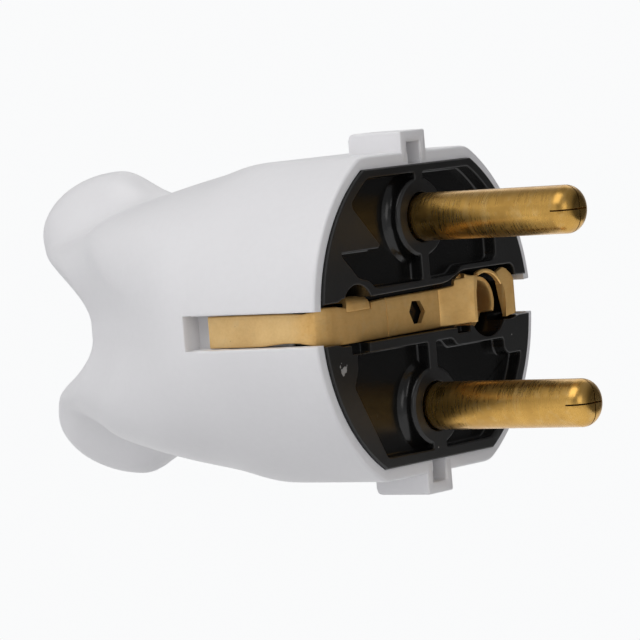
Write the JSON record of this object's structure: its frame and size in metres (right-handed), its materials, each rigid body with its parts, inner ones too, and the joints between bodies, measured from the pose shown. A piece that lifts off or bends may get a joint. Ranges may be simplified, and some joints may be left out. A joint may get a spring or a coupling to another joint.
{
  "type": "type f plug",
  "caption": "Rewireable two-pin earthed mains plug with round flatted barrel, side earth contacts, earth-pin hole, key lugs and a flared grip.",
  "frame": {"origin": "centre of the contact carrier's engagement face, midway between the two pins", "axes": "+X along the pins towards their tips, +Z from the lower pin to the upper one, +Y towards the earth hole"},
  "size_m": [0.0674, 0.037, 0.0364],
  "materials": {
    "white_plastic": "fine satin moulded",
    "black_plastic": "satin moulded, glossy collars",
    "pin_brass": "bright, finely scratched",
    "strip_brass": "dull stamped sheet",
    "terminal_brass": "machined",
    "screw_steel": "zinc plated",
    "grip_plastic": "matt moulded"
  },
  "bodies": {
    "root": {"housing": "white_plastic", "contact_carrier": "black_plastic", "pin_upper": "pin_brass", "pin_lower": "pin_brass", "earth_strip": "strip_brass", "earth_socket_sleeve": "strip_brass", "terminal_block_upper": "terminal_brass", "terminal_block_lower": "terminal_brass", "terminal_block_earth": "terminal_brass", "clamp_plate_upper": "terminal_brass", "clamp_plate_lower": "terminal_brass", "clamp_plate_earth": "terminal_brass", "terminal_screw_upper": "screw_steel", "terminal_screw_lower": "screw_steel", "terminal_screw_earth": "screw_steel", "closing_screw": "screw_steel", "cord_clamp_bar": "grip_plastic", "cord_screw_near": "screw_steel", "cord_screw_far": "screw_steel"}
  },
  "joints": []
}
